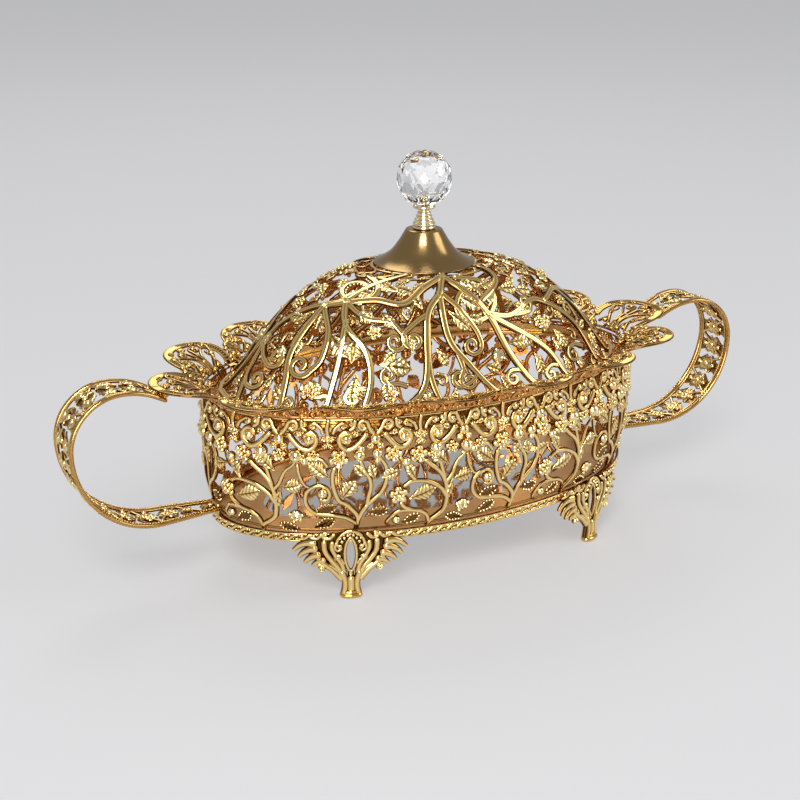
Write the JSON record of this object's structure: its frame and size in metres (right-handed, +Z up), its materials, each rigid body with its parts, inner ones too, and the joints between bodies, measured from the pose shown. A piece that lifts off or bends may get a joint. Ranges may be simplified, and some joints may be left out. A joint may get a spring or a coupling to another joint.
{
  "type": "decorative box",
  "caption": "Oval openwork gilt basket box on leaf feet, with a flared scalloped rim, two strap handles and a lift-off domed lid with a faceted crystal knob.",
  "frame": {"origin": "on the table under the middle of the oval base", "axes": "+X along the oval, from the left handle to the right one; +Y to the back; +Z up"},
  "size_m": [0.408, 0.1854, 0.2156],
  "materials": {
    "polished_gold": "polished gilt",
    "satin_gold": "satin gilt",
    "brass_hardware": "turned",
    "crystal": "cut and polished"
  },
  "bodies": {
    "basket": {"base_plate": "satin_gold", "base_trim": "polished_gold", "wall_front": "polished_gold", "wall_back": "polished_gold", "rim_front": "polished_gold", "rim_back": "polished_gold", "lid_seat": "satin_gold", "left_handle": "polished_gold", "right_handle": "polished_gold", "foot_front_left": "polished_gold", "foot_front_right": "polished_gold", "foot_back_left": "polished_gold", "foot_back_right": "polished_gold"},
    "lid": {"lid_band": "polished_gold", "lid_shell": "polished_gold", "lid_cap": "satin_gold", "knob_neck": "polished_gold", "crystal_knob": "crystal", "knob_stud": "brass_hardware", "stud_nut": "brass_hardware"}
  },
  "joints": [
    {"name": "lid_lift", "type": "slide", "parent": "basket", "child": "lid", "axis": [0, 0, 1], "range_m": [0, 0.1]}
  ]
}
